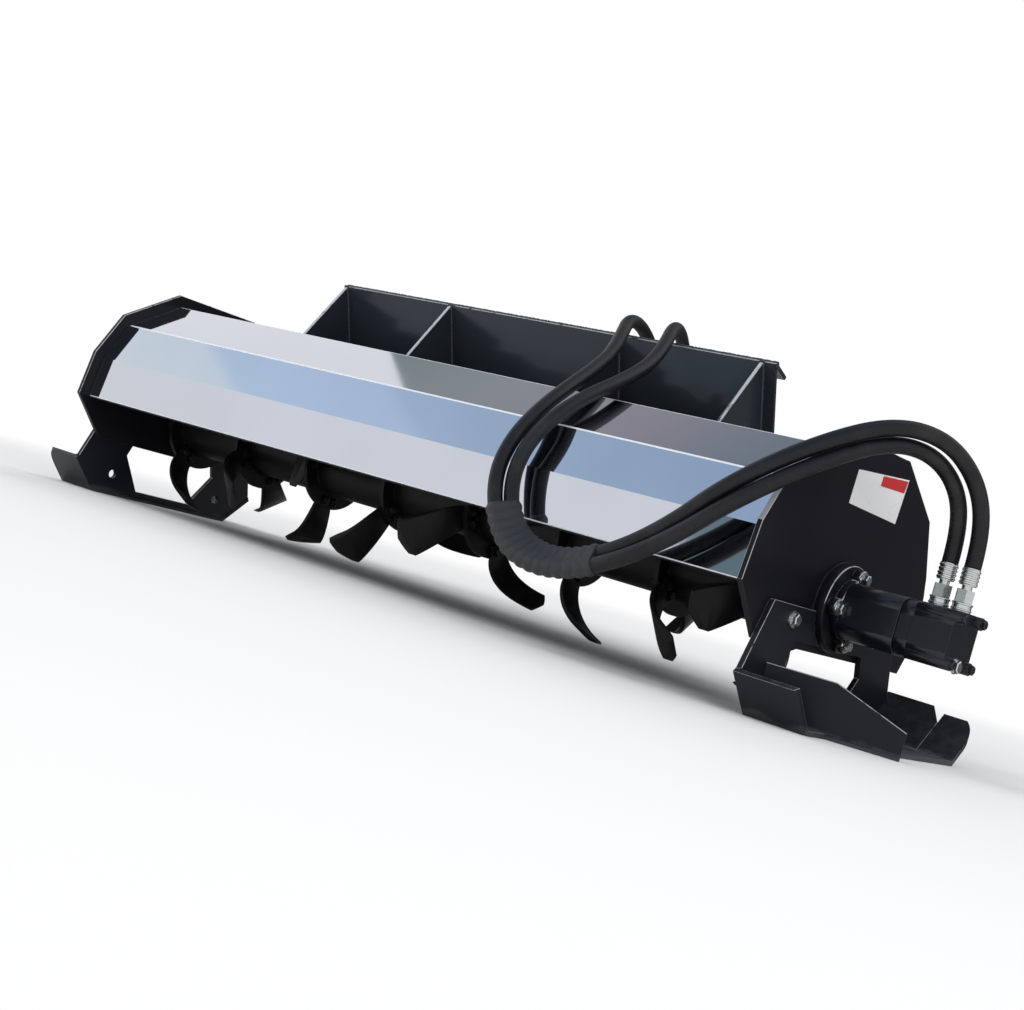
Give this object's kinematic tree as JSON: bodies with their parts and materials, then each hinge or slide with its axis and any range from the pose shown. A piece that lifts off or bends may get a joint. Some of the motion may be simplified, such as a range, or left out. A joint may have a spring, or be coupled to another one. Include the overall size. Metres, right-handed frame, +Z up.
{
  "type": "rotary tiller attachment",
  "caption": "Skid-steer rotary tiller attachment: folded hood, end plates on skid shoes, tined rotor, side hydraulic motor with hoses and a quick-attach frame.",
  "frame": {"origin": "on the ground, under the middle of the machine's box without its hoses", "axes": "+X towards the hydraulic motor, -Y the way it travels, +Y towards the loader, +Z up"},
  "size_m": [2.043, 0.8398, 0.6456],
  "materials": {
    "hood_paint": "glossy",
    "frame_paint": "semi-gloss",
    "rotor_paint": "satin",
    "tine_paint": "satin",
    "motor_paint": "semi-gloss",
    "bearing_iron": "satin",
    "shaft_steel": "machined",
    "zinc": "zinc plated",
    "hose_rubber": "matt"
  },
  "bodies": {
    "frame": {"hood_skin": "hood_paint", "hood_front_lip": "hood_paint", "hood_rear_lip": "hood_paint", "end_plate_right": "frame_paint", "end_plate_left": "frame_paint", "shoe_plate_right": "frame_paint", "shoe_plate_left": "frame_paint", "shoe_sole_right": "frame_paint", "shoe_sole_left": "frame_paint", "motor_guard_floor": "frame_paint", "motor_guard_plate": "frame_paint", "bearing_housing_left": "bearing_iron", "bearing_cap_left": "bearing_iron", "motor_ring": "bearing_iron", "motor_flange": "motor_paint", "motor_body": "motor_paint", "motor_gerotor": "motor_paint", "motor_end_cap": "motor_paint", "port_fitting_1": "zinc", "port_fitting_2": "zinc", "attach_plate": "hood_paint", "attach_hook": "hood_paint", "attach_ledge": "hood_paint", "gusset_1": "hood_paint", "gusset_2": "hood_paint", "gusset_3": "hood_paint", "gusset_4": "hood_paint", "hose_1": "hose_rubber", "hose_2": "hose_rubber", "coupler_1": "zinc", "coupler_2": "zinc"},
    "rotor": {"rotor_tube": "rotor_paint", "rotor_flanges": "rotor_paint", "tines_left_hand": "tine_paint", "tines_right_hand": "tine_paint", "stub_shaft_left": "shaft_steel", "drive_shaft": "shaft_steel"}
  },
  "joints": [
    {"name": "rotor_spin", "type": "hinge", "parent": "frame", "child": "rotor", "pos_m": [-0.0585, -0.06369, 0.196], "axis": [1, 0, 0], "continuous": true}
  ]
}
